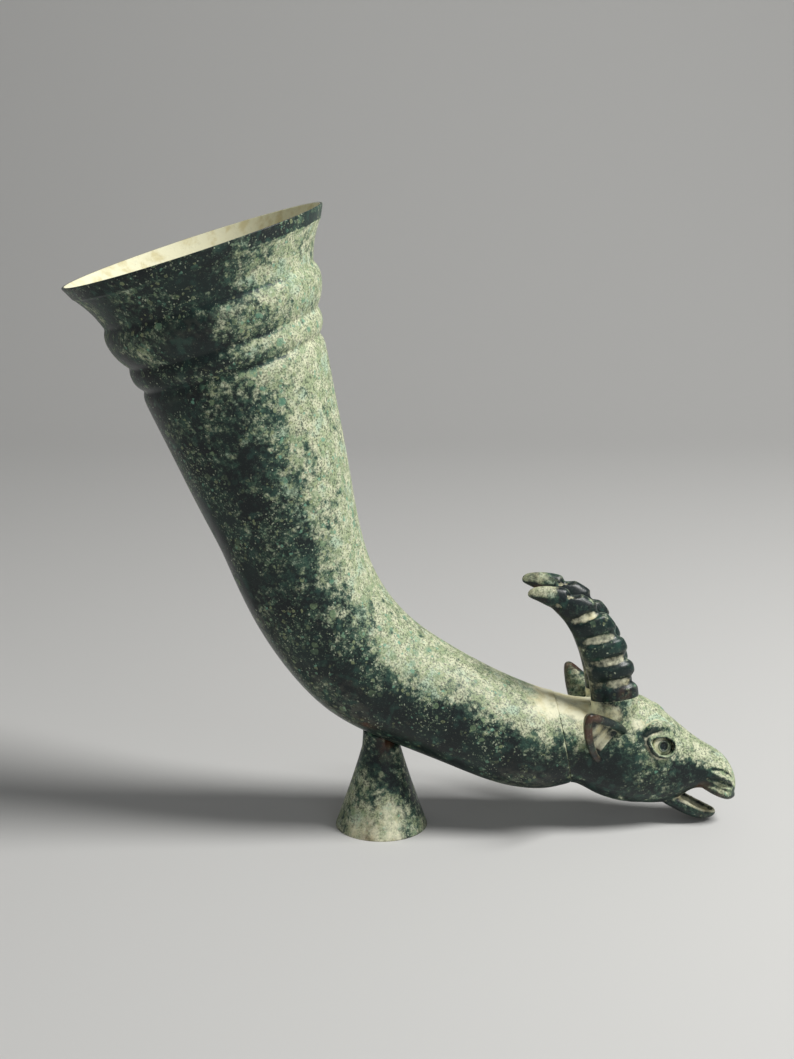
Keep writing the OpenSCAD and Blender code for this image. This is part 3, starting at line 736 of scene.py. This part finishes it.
def spun(name, outline, steps):
    """A closed form spun round Z from an outline of (radius, height), in millimetres."""
    bpy.ops.object.select_all(action="DESELECT")
    bpy.ops.mesh.primitive_circle_add(vertices=len(outline), radius=1, fill_type="NOTHING")
    piece = bpy.context.object
    piece.name = name
    for spot, (radius, height) in zip(piece.data.vertices, outline):
        spot.co = (radius * MM, 0, height * MM)
    bpy.ops.object.mode_set(mode="EDIT")
    bpy.ops.mesh.select_all(action="SELECT")
    bpy.ops.mesh.spin(steps=steps, angle=2 * math.pi, center=(0, 0, 0), axis=(0, 0, 1))
    bpy.ops.mesh.select_all(action="SELECT")
    bpy.ops.mesh.remove_doubles(threshold=0.00001)
    bpy.ops.mesh.delete_loose(use_verts=True, use_edges=True, use_faces=False)
    bpy.ops.mesh.select_all(action="SELECT")
    bpy.ops.mesh.normals_make_consistent(inside=False)
    bpy.ops.object.mode_set(mode="OBJECT")
    return piece


EYE_OUTLINE = [
    (0, -2.3), (3.7, -2.3), (4.0, -2.1), (4.0, -0.1), (3.8, 0.25), (3.2, 0.65), (2.6, 0.95), (2.4, 1.4),
    (2.05, 1.6), (1.7, 1.4), (1.5, 1.0), (1.25, 0.8), (0.8, 0.95), (0, 1.05),
]


def make_eye(name, side):
    eye = spun(name, EYE_OUTLINE, 32)
    middle, forward, upward, out = eye_frame(side)
    eye.rotation_euler = out.to_track_quat("Z", "Y").to_euler()
    eye.location = middle * MM
    only(eye)
    bpy.ops.object.transform_apply(location=True, rotation=True, scale=True)
    rounded(eye, 1)
    return eye


eyes = [make_eye("eye_near", -1), make_eye("eye_far", 1)]

# radius and height of the foot's outside, and its wall
FOOT = [
    (19, 0), (18.9, 0.5), (18.2, 2.4), (14.9, 12), (12.2, 20), (9.6, 28.4), (7.9, 34.4), (7.5, 40), (7.5, 49),
]
FOOT_WALL = 2.2
foot = spun("foot_cone", FOOT + [(radius - FOOT_WALL, height) for radius, height in reversed(FOOT)], 64)
# the stations of the cup's outside that lie over the foot
belly = draw_out("belly", outer[3:12], 40)
rounded(belly, 2)
cut(foot, belly)
print("foot:", len(foot.data.polygons), "faces")

# %% [markdown]
# ## Where earth and spots gather
# The skin of buried bronze depends on the form: earth stays in each hollow. So the hollows are measured
# first. A copy is smoothed, and where it rises above the real surface there is a hollow. The number is kept
# at each vertex as an attribute, which a material can read. The film and the blisters crowd where a part is
# marked pale, and that pale mark is partly the real pale patina and partly painted light, on the faces turned
# to the main light.

# %% Measure the hollows, mark the deposits, and paint light and shade
import numpy as np


def points_of(piece, what="co"):
    rows = np.zeros(len(piece.data.vertices) * 3, np.float32)
    if what == "co":
        piece.data.vertices.foreach_get("co", rows)
    else:
        piece.data.vertex_normals.foreach_get("vector", rows)
    return rows.reshape(-1, 3)


def keep(piece, name, values):
    """Store one number for each vertex."""
    made = piece.data.attributes.new(name, "FLOAT", "POINT")
    made.data.foreach_set("value", np.clip(values, 0, 1).astype(np.float32))


def measure_hollows(piece, rounds, depth, clean=0.0):
    """Keep how far each vertex lies below its smoothed surroundings; depth in millimetres counts as 1.
    Where clean is 1, no earth stays in the hollow."""
    twin = piece.copy()
    twin.data = piece.data.copy()
    bpy.context.scene.collection.objects.link(twin)
    apply(twin, "SMOOTH", factor=0.7, iterations=rounds)
    rise = ((points_of(twin) - points_of(piece)) * points_of(piece, "normal")).sum(axis=1) / (depth * MM)
    bpy.data.objects.remove(twin)
    keep(piece, "hollow", rise * (1 - clean))
    # smoothing shrinks every round form a little, so only what shrinks more than usual is a worn ridge
    keep(piece, "worn", np.median(rise) - rise - 0.15)
    print(piece.name, "has hollows on", int((rise > 0.3).mean() * 100), "percent of its skin")


def near(points, *spots):
    """How near each point is to any of the spots (x, y, z, radius, strength), from 0 to 1."""
    total = np.zeros(len(points))
    for x, y, z, radius, strength in spots:
        gap = np.linalg.norm(points / MM - np.array([x, y, z]), axis=1) / radius
        total = np.maximum(total, strength * np.clip(1.5 - gap, 0, 1))
    return total


def slope(values, low, high):
    """0 below low, 1 above high, and a soft slope between."""
    share = np.clip((values - low) / (high - low), 0, 1)
    return share * share * (3 - 2 * share)


def facing(piece, x, y, z):
    """How far each vertex faces a direction, from -1 to 1."""
    return points_of(piece, "normal") @ np.array(Vector((x, y, z)).normalized())


def paler_where_lit(piece):
    """How pale a skin gets, as painted light: most where it faces the main light, up and to the muzzle."""
    return 0.95 * slope(facing(piece, 0.7, -0.05, 0.72), -0.3, 1.05)


measure_hollows(cup, 14, 0.35)
places = points_of(cup)
up_mouth = np.array([-math.sin(math.radians(MOUTH_LEAN)), 0, math.cos(math.radians(MOUTH_LEAN))])
from_bend = places / MM - np.array(BEND_START)
along = from_bend @ up_mouth
outwards = from_bend - along[:, None] * up_mouth
inner_skin = (points_of(cup, "normal") * outwards).sum(axis=1) < -0.15 * np.linalg.norm(outwards, axis=1)
inside = inner_skin * slope(along, 20, 110)
x, z = places[:, 0] / MM, places[:, 2] / MM
patch = near(places, (70, 0, 57, 9, 1), (67, -9, 55, 8, 0.8), (67, 9, 55, 8, 0.8))
keep(cup, "earth", np.maximum(inside, patch))
keep(cup, "brown", near(places, (-6, -17, 51, 3, 0.8), (-1, -21, 47, 2.5, 0.5), (-84, -20, 160, 2, 0.5)))
# painted light: the cup is paler where it faces the main light, and its lower horn where it faces up; it is
# also paler higher up
pale = paler_where_lit(cup) + 0.2 * slope(z, 90, 160)
pale += 0.35 * slope(x, 20, 70) * slope(facing(cup, 0.3, 0, 1), 0.1, 0.8)
# a painted highlight on the top of the bend, partly a pale deposit
pale += 0.3 * near(places, (6, -12, 83, 16, 1), (24, -10, 72, 13, 1), (42, -9, 63, 12, 0.8))
# painted light: the right side of the flare, turned to the main light, is paler
pale += 0.4 * slope(facing(cup, 1, -0.3, 0), 0.6, 1) * slope(z, 195, 215)
# painted shade: the three grooves of the mouth, by their distance below the rim, stay dark except where they
# turn to the main light; the band of the rim stays dark too
GROOVE_DROPS, GROOVE_REACH = (19.9, 37.3, 47.5), 1.3
for drop in GROOVE_DROPS:
    in_groove = np.exp(-((along - MOUTH_LENGTH + drop) / GROOVE_REACH) ** 2)
    pale *= 1 - 0.8 * in_groove * slope(-facing(cup, 1, 0, 0), -0.85, -0.4)
pale *= 1 - 0.95 * slope(along, 112.2, 113.4)
keep(cup, "pale", pale)

places = points_of(head)
# no earth stays in the nostrils and the corners of the mouth
NOSTRILS = [(138.5, side * 9, z, 4.5, 1) for side in (-1, 1) for z in (24, 20)]
NOSTRILS += [(143, side * 7.4, z, 4, 1) for side in (-1, 1) for z in (22, 18)]
measure_hollows(head, 26, 0.5, clean=near(places, *NOSTRILS, (131, -7, 15, 5, 1), (131, 7, 15, 5, 1)))
nape = [(x, y, z, r, s) for x, z, r, s in ((76, 56, 7, 1), (82, 54, 7, 1)) for y in (-9, 0, 9)]
cheeks = [(x, side * y, *rest) for side in (-1, 1) for x, y, *rest in (
    (93, 14, 51, 4.5, 0.7), (85, 14, 50, 6, 0.8), (104, 13, 47, 3, 0.6))]
lip_rim = near(places, (130, 0, 10, 9, 1), (138, 0, 5, 6, 1)) * (places[:, 2] < 0.0148)
lip_rim *= slope(facing(head, 0.4, 0, 1), 0.35, 0.75)
keep(head, "earth", np.maximum(near(places, *nape, *cheeks), lip_rim))
keep(head, "brown", near(
    places, (132.5, -6, 17, 3.4, 0.6), (132.5, 6, 17, 3.4, 0.6), (139, -7.6, 15, 3, 0.3)))
# painted light: the head is paler where it faces the main light and where it faces up
pale = paler_where_lit(head) + 0.35 * slope(facing(head, 0.3, 0, 1), 0.1, 0.8) + 0.08
# painted shade: the skin under the muzzle and the lower lip is kept dark
pale *= 1 - 0.8 * slope(places[:, 0], 0.118, 0.124) * slope(-places[:, 2], -0.0148, -0.012)
keep(head, "pale", pale)

for horn, side in zip(horns, (-1, 1)):
    places = points_of(horn)
    measure_hollows(horn, 40, 0.3)
    tip = near(places, (60, side * 11, 103, 6, 1), (66, side * 10.5, 103, 4, 1))
    tip *= slope(facing(horn, 0, 0, 1), -0.5, 0.2)
    strip = near(
        places, (84, side * 8, 62, 5, 0.4), (82, side * 8.5, 70, 4, 0.35), (80, side * 9, 77, 4, 0.3))
    oxide = near(places, (66, side * 10, 97, 4, 0.9), (98, side * 13, 60, 2.4, 0.4))
    keep(horn, "earth", np.maximum(strip, 0.35 * tip))
    keep(horn, "brown", oxide * slope(-places[:, 2], -0.1015, -0.0995))
    # the tip is pale on top, and the faces turned to the main light are made a little paler as painted light
    keep(horn, "pale", np.maximum(tip, 0.3 * slope(facing(horn, 0.5, 0, 0.8), 0.5, 1)))
for ear, side in zip(ears, (-1, 1)):
    places = points_of(ear)
    measure_hollows(ear, 40, 0.6)
    floor_side = facing(ear, 0.59, side * 0.74, -0.32)
    cup_floor = near(places, (90, side * 20, 42, 5, 1), (87, side * 24, 47, 4, 0.9))
    cup_floor *= slope(floor_side, 0.1, 0.6)
    keep(ear, "earth", np.maximum(cup_floor, 0.2 * slope(-floor_side, 0.2, 0.7)))
    keep(ear, "brown", near(
        places, (81, side * 33, 57, 6, 0.6), (80, side * 31, 50, 6, 0.6), (84, side * 22, 38, 5, 0.4)))
    keep(ear, "pale", 0.75 * slope(-floor_side, 0.1, 0.6))
places = points_of(foot)
keep(foot, "hollow", np.zeros(len(places)))
keep(foot, "worn", slope(-places[:, 2], -0.0012, -0.0004))
keep(foot, "earth", near(places, (1, -18, 3, 9, 0.55), (-9, -16, 2, 9, 0.55), (3, -14, 10, 6, 0.5)))
keep(foot, "brown", near(places, (2, -8, 38, 3.5, 0.8), (-6, -17, 1, 3, 0.5)))
keep(foot, "pale", 0.35 + 0.65 * slope(-places[:, 2], -0.034, -0.006) * slope(-places[:, 0], -0.012, 0.004))
for eye, side in zip(eyes, (-1, 1)):
    middle, forward, upward, out = eye_frame(side)
    from_middle = points_of(eye) / MM - np.array(middle)
    away = np.linalg.norm(from_middle - np.outer(from_middle @ np.array(out), np.array(out)), axis=1)
    measure_hollows(eye, 4, 0.3)
    keep(eye, "earth", slope(away, 2.2, 2.7) * slope(-(from_middle @ np.array(forward)), -1.5, 1.5))
    keep(eye, "brown", np.zeros(len(away)))
    keep(eye, "pale", 0.9 * slope(away, 1.3, 1.9))

# %% [markdown]
# ## The skin of buried bronze
# One node group makes the skin for every part, so all of them weather alike. From the bottom up it lays a
# near-black green ground, an olive film in patches, round blisters in three sizes with paler edges, fine
# dust, cream earth in the hollows and brown where the red oxide shows. It puts out a colour, a roughness
# and a height; the shader itself stays in each material.

# %% Node group
# colours of the skin, from the dark ground up to the earth and the oxide
NIGHT, DEEP_GREEN, TEAL = (0.003, 0.009, 0.010, 1), (0.008, 0.024, 0.021, 1), (0.020, 0.062, 0.048, 1)
THIN_FILM, OLIVE, CREAM_GREEN = (0.05, 0.11, 0.075, 1), (0.36, 0.43, 0.25, 1), (0.66, 0.68, 0.47, 1)
MINT, DUST, BARE_RIDGE = (0.36, 0.56, 0.42, 1), (0.42, 0.52, 0.44, 1), (0.42, 0.42, 0.31, 1)
TAN_EARTH, CREAM_EARTH = (0.72, 0.66, 0.40, 1), (0.87, 0.85, 0.62, 1)
DARK_OXIDE, RED_OXIDE = (0.045, 0.016, 0.010, 1), (0.20, 0.085, 0.04, 1)
SATIN_LOW, SATIN_HIGH, MATT = 0.27, 0.4, 0.72
skin = bpy.data.node_groups.new("buried bronze", "ShaderNodeTree")
for name in ("Pale", "Earth", "Brown", "Hollow", "Worn", "Spots", "Film"):
    skin.interface.new_socket(name, in_out="INPUT", socket_type="NodeSocketFloat")
skin.interface.new_socket("Color", in_out="OUTPUT", socket_type="NodeSocketColor")
skin.interface.new_socket("Roughness", in_out="OUTPUT", socket_type="NodeSocketFloat")
skin.interface.new_socket("Height", in_out="OUTPUT", socket_type="NodeSocketFloat")
given = skin.nodes.new("NodeGroupInput").outputs
result = skin.nodes.new("NodeGroupOutput").inputs


def add(kind, settings=(), **sockets):
    """One node of the group; a socket gets a value, or a link from another node's output."""
    made = skin.nodes.new("ShaderNode" + kind)
    for key, value in dict(settings).items():
        setattr(made, key, value)
    for key, value in sockets.items():
        socket = made.inputs[int(key[1:])] if key[0] == "_" else made.inputs[key.replace("_", " ")]
        if isinstance(value, bpy.types.NodeSocket):
            skin.links.new(value, socket)
        else:
            socket.default_value = value
    return made


def maths(operation, a, b=0.0, c=0.0, clamp=False):
    return add("Math", {"operation": operation, "use_clamp": clamp}, _0=a, _1=b, _2=c).outputs[0]


def times(a, b, c=0.0):
    """a times b, plus c, kept between 0 and 1."""
    return maths("MULTIPLY_ADD", a, b, c, clamp=True)


def ramp(value, low, high):
    """0 below low, 1 above high, soft between; it falls where low is above high."""
    made = add("MapRange", {"interpolation_type": "SMOOTHSTEP"}, Value=value, From_Min=low, From_Max=high)
    return made.outputs[0]


def layer(under, over, mask):
    return add("Mix", {"data_type": "RGBA"}, Factor=mask, _6=under, _7=over).outputs[2]


def blend(under, over, mask):
    return add("Mix", {"data_type": "FLOAT"}, Factor=mask, _2=under, _3=over).outputs[0]


def grain(scale, detail=3.0, rough=0.55):
    return add("TexNoise", Vector=spread, Scale=scale, Detail=detail, Roughness=rough).outputs[0]


spread = add("TexCoord").outputs["Object"]
wobble = add("TexNoise", Vector=spread, Scale=450.0, Detail=3.0).outputs["Color"]
warped = add("VectorMath", {"operation": "MULTIPLY_ADD"}, _0=wobble, _1=(0.0022,) * 3, _2=spread).outputs[0]

# a dark ground, then a film that closes where the surface is pale; the Pale mask is partly painted light, so
# the film gathers on the faces turned to the main light
tone = layer(NIGHT, DEEP_GREEN, ramp(grain(46.0, 5.0), 0.4, 0.66))
tone = layer(tone, TEAL, times(ramp(grain(210.0, 6.0), 0.52, 0.68), 0.8))
patches = maths("MULTIPLY_ADD", grain(85.0, 6.0, 0.6), 0.45, maths("MULTIPLY", grain(430.0, 7.0, 0.7), 0.55))
patches = maths("MULTIPLY_ADD", grain(30.0, 3.0), 0.35, maths("MULTIPLY_ADD", patches, 1.4, -0.375))
cover = maths("MULTIPLY_ADD", given["Pale"], 0.34, patches)
pores = ramp(grain(1300.0, 3.0), 0.36, 0.56)
film = times(times(ramp(cover, 0.53, 0.72), given["Film"]), times(pores, 0.7, 0.3))
pale_film = layer(OLIVE, CREAM_GREEN, ramp(grain(240.0, 5.0), 0.38, 0.6))
pale_film = layer(pale_film, MINT, times(ramp(grain(120.0, 4.0), 0.55, 0.68), 0.6))
# the film turns pale where it is thick, and also where the Pale mask holds painted light
thick_and_lit = ramp(maths("MULTIPLY_ADD", grain(360.0, 4.0), 0.5, cover), 0.86, 1.08)
tone = layer(tone, layer(THIN_FILM, pale_film, thick_and_lit), film)


def blisters(scale, share, size):
    """Round spots, some of them rings: how strong each point is, and a number for the tint of each spot."""
    cells = add("TexVoronoi", Vector=warped, Scale=scale)
    dice = add("SeparateColor", Color=cells.outputs["Color"]).outputs
    there = times(maths("SUBTRACT", share, dice[0]), 5.0)
    gap = maths("SUBTRACT", cells.outputs["Distance"], maths("MULTIPLY_ADD", dice[2], size, size * 0.5))
    edge = maths("SUBTRACT", 1.0, maths("MULTIPLY", maths("ABSOLUTE", gap), 10.0), clamp=True)
    filled = times(ramp(gap, 0.09, -0.08), times(dice[1], 0.7, 0.2))
    return maths("MULTIPLY", maths("MAXIMUM", times(edge, 0.75), filled), there), dice[1]


# blisters crowd more where the Pale mask is high, which is partly painted light on the faces turned to the
# main light
crowd = maths("MULTIPLY", ramp(grain(42.0, 5.0), 0.34, 0.62), maths("MULTIPLY_ADD", given["Pale"], 0.6, 0.5))
crowd = maths("MULTIPLY", crowd, given["Spots"])
relief = maths("MULTIPLY", film, 0.3)
# the three sizes of blisters: scale, share of the cells, size, and the two tints
for scale, much, size, first, second in (
    (270.0, 0.6, 0.28, (0.22, 0.32, 0.17, 1), (0.12, 0.27, 0.18, 1)),
    (560.0, 0.7, 0.28, (0.38, 0.44, 0.22, 1), (0.16, 0.36, 0.25, 1)),
    (1150.0, 1.0, 0.3, (0.26, 0.36, 0.22, 1), (0.52, 0.58, 0.42, 1)),
):
    spot, tint = blisters(scale, maths("MULTIPLY", crowd, much), size)
    tone = layer(tone, layer(first, second, ramp(tint, 0.55, 0.8)), spot)
    relief = maths("MULTIPLY_ADD", spot, 0.4, relief)
tone = layer(tone, DUST, times(ramp(grain(2500.0, 1.0), 0.66, 0.78), 0.25))

# earth in the hollows, pale wear on the ridges, brown where the oxide shows
worn = times(given["Worn"], ramp(grain(300.0, 4.0), 0.42, 0.62))
tone = layer(tone, BARE_RIDGE, times(worn, 0.75))
soil = maths("MAXIMUM", maths("MULTIPLY", given["Hollow"], 1.5), given["Earth"])
soil = ramp(maths("MULTIPLY_ADD", grain(300.0, 6.0, 0.7), 1.4, soil), 0.85, 1.6)
tone = layer(tone, layer(TAN_EARTH, CREAM_EARTH, ramp(grain(160.0, 5.0), 0.34, 0.56)), soil)
rust = times(given["Brown"], ramp(grain(180.0, 5.0), 0.35, 0.55))
tone = layer(tone, layer(DARK_OXIDE, RED_OXIDE, grain(420.0, 4.0)), rust)

matt = maths("MAXIMUM", times(film, 0.8), soil)
relief = maths("MULTIPLY_ADD", soil, 0.4, maths("MULTIPLY_ADD", grain(900.0, 4.0), 0.4, relief))
skin.links.new(tone, result["Color"])
skin.links.new(blend(blend(SATIN_LOW, SATIN_HIGH, grain(700.0)), MATT, matt), result["Roughness"])
skin.links.new(relief, result["Height"])
print("skin:", len(skin.nodes), "nodes")


def bronze(name, **strengths):
    """A material that shows the skin at given strengths."""
    made = bpy.data.materials.new(name)
    made.use_nodes = True
    tree = made.node_tree
    shader = tree.nodes["Principled BSDF"]
    shader.inputs["Specular IOR Level"].default_value = 0.35
    group = tree.nodes.new("ShaderNodeGroup")
    group.node_tree = skin
    for key in ("Pale", "Earth", "Brown", "Hollow", "Worn"):
        reader = tree.nodes.new("ShaderNodeAttribute")
        reader.attribute_name = key.lower()
        tree.links.new(reader.outputs["Fac"], group.inputs[key])
    for key, value in strengths.items():
        group.inputs[key].default_value = value
    bump = tree.nodes.new("ShaderNodeBump")
    bump.inputs["Strength"].default_value = 0.5
    bump.inputs["Distance"].default_value = 0.0003
    tree.links.new(group.outputs["Color"], shader.inputs["Base Color"])
    tree.links.new(group.outputs["Roughness"], shader.inputs["Roughness"])
    tree.links.new(group.outputs["Height"], bump.inputs["Height"])
    tree.links.new(bump.outputs["Normal"], shader.inputs["Normal"])
    return made


finishes = {
    "bronze_body": bronze("spotted_bronze", Spots=1.0, Film=1.0),
    "bronze_head": bronze("head_bronze", Spots=0.7, Film=1.0),
    "bronze_horn": bronze("horn_bronze", Spots=0.4, Film=0.8),
    "bronze_ear": bronze("ear_bronze", Spots=0.4, Film=0.8),
    "bronze_foot": bronze("foot_bronze", Spots=0.8, Film=0.9),
    "eye_inlay": bronze("eye_inlay", Spots=0.2, Film=0.4),
}

# %% [markdown]
# ## Hand over
# Each piece rides on the one body of this part and stands in for its CAD node, which is hidden; it gets the
# material chosen for its slot.

# %% Hand over
for piece, node, slot in (
    (cup, "beaker", "bronze_body"), (head, "head", "bronze_head"), (foot, "foot", "bronze_foot"),
    (horns[0], "horn_right", "bronze_horn"), (horns[1], "horn_left", "bronze_horn"),
    (ears[0], "ear_right", "bronze_ear"), (ears[1], "ear_left", "bronze_ear"),
    (eyes[0], "eye_right", "eye_inlay"), (eyes[1], "eye_left", "eye_inlay"),
):
    only(piece)
    bpy.ops.object.shade_smooth()
    piece.data.materials.clear()
    piece.data.materials.append(finishes[slot])
    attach(piece, "root")
    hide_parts(node)
    print(piece.name, "stands for", node)
